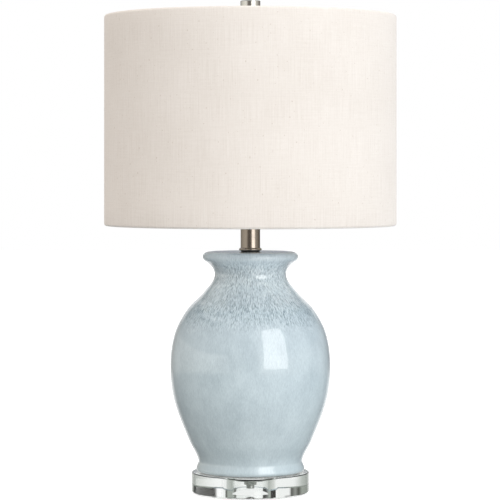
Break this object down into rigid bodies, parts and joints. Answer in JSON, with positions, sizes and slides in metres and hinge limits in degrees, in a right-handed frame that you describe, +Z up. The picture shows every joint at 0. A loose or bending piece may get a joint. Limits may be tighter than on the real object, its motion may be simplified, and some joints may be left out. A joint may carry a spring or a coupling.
{
  "type": "table lamp",
  "caption": "Table lamp: a glazed ceramic vase on a clear disc carries a metal neck, harp, turn-switch socket and bulb under a linen drum shade held by a finial.",
  "frame": {"origin": "on the lamp's axis at the table, under the bumper feet", "axes": "+Z up the lamp's axis, +X along the harp's width, -Y towards the switch knob, +Y towards the cord inlet"},
  "size_m": [0.3789, 0.379, 0.6402],
  "materials": {
    "crystal": "polished clear crystal",
    "glaze": "glossy reactive glaze, pale blue-grey",
    "nickel": "brushed nickel",
    "polished_nickel": "polished nickel",
    "nickel_wire": "nickel-plated steel",
    "zinc_steel": "zinc-plated steel",
    "brass": "bright brass",
    "bulb_metal": "rolled aluminium",
    "frosted_glass": "frosted white glass",
    "linen": "oatmeal linen weave",
    "styrene": "white styrene sheet",
    "white_wire": "white coated wire",
    "clear_rubber": "clear soft rubber",
    "dark_rubber": "black rubber",
    "black_plastic": "black",
    "knob_plastic": "dark brown moulded",
    "phenolic": "black phenolic",
    "sleeve_card": "brown insulating card"
  },
  "bodies": {
    "lamp_body": {"bumper_feet": "clear_rubber", "crystal_base": "crystal", "base_washer": "zinc_steel", "lock_washer": "zinc_steel", "base_nut": "zinc_steel", "threaded_pipe": "zinc_steel", "foot_gasket": "clear_rubber", "ceramic_body": "glaze", "cord_bushing": "black_plastic", "neck_washer": "dark_rubber", "neck_collar": "nickel", "neck_tube": "nickel", "neck_cap": "nickel", "harp_saddle": "nickel_wire", "saddle_nut": "zinc_steel", "harp_loop": "nickel_wire", "harp_stud": "nickel_wire", "socket_cap": "nickel", "set_screw": "zinc_steel", "socket_shell": "nickel", "socket_sleeve": "sleeve_card", "socket_interior": "phenolic", "terminal_screws": "brass", "screw_shell": "brass", "centre_contact": "brass"},
    "left_ferrule": {"ferrule_left": "nickel"},
    "right_ferrule": {"ferrule_right": "nickel"},
    "switch": {"switch_shaft": "brass", "switch_knob": "knob_plastic"},
    "bulb_tip": {"bulb_contact": "brass"},
    "bulb": {"bulb_insulator": "black_plastic", "bulb_cap": "bulb_metal", "bulb_glass": "frosted_glass"},
    "shade": {"spider_hub": "nickel_wire", "spider_arms": "nickel_wire", "shade_top_ring": "white_wire", "shade_bottom_ring": "white_wire", "shade_liner": "styrene", "shade_cover": "linen"},
    "finial_thread": {"finial_insert": "brass"},
    "finial": {"finial": "polished_nickel"}
  },
  "joints": [
    {"name": "left_ferrule_slide", "type": "slide", "parent": "lamp_body", "child": "left_ferrule", "axis": [0, 0, 1], "range_m": [0, 0.016]},
    {"name": "right_ferrule_slide", "type": "slide", "parent": "lamp_body", "child": "right_ferrule", "axis": [0, 0, 1], "range_m": [0, 0.016]},
    {"name": "switch_turn", "type": "hinge", "parent": "lamp_body", "child": "switch", "pos_m": [0, 0, 0.399], "axis": [0, -1, 0], "continuous": true},
    {"name": "bulb_rise", "type": "slide", "parent": "lamp_body", "child": "bulb_tip", "axis": [0, 0, 1], "range_m": [0, 0.0182]},
    {"name": "bulb_turn", "type": "hinge", "parent": "bulb_tip", "child": "bulb", "pos_m": [0, 0, 0.4857], "axis": [0, 0, 1], "range_deg": [0, 1800]},
    {"name": "shade_turn", "type": "hinge", "parent": "lamp_body", "child": "shade", "pos_m": [0, 0, 0.5983], "axis": [0, 0, 1], "continuous": true},
    {"name": "finial_rise", "type": "slide", "parent": "lamp_body", "child": "finial_thread", "axis": [0, 0, 1], "range_m": [0, 0.0086]},
    {"name": "finial_turn", "type": "hinge", "parent": "finial_thread", "child": "finial", "pos_m": [0, 0, 0.6001], "axis": [0, 0, 1], "range_deg": [0, 3240]}
  ],
  "couplings": [
    {"joint": "bulb_rise", "follows": "bulb_turn", "m_per_rad": 0.00057773},
    {"joint": "finial_rise", "follows": "finial_turn", "m_per_rad": 0.00014972}
  ]
}
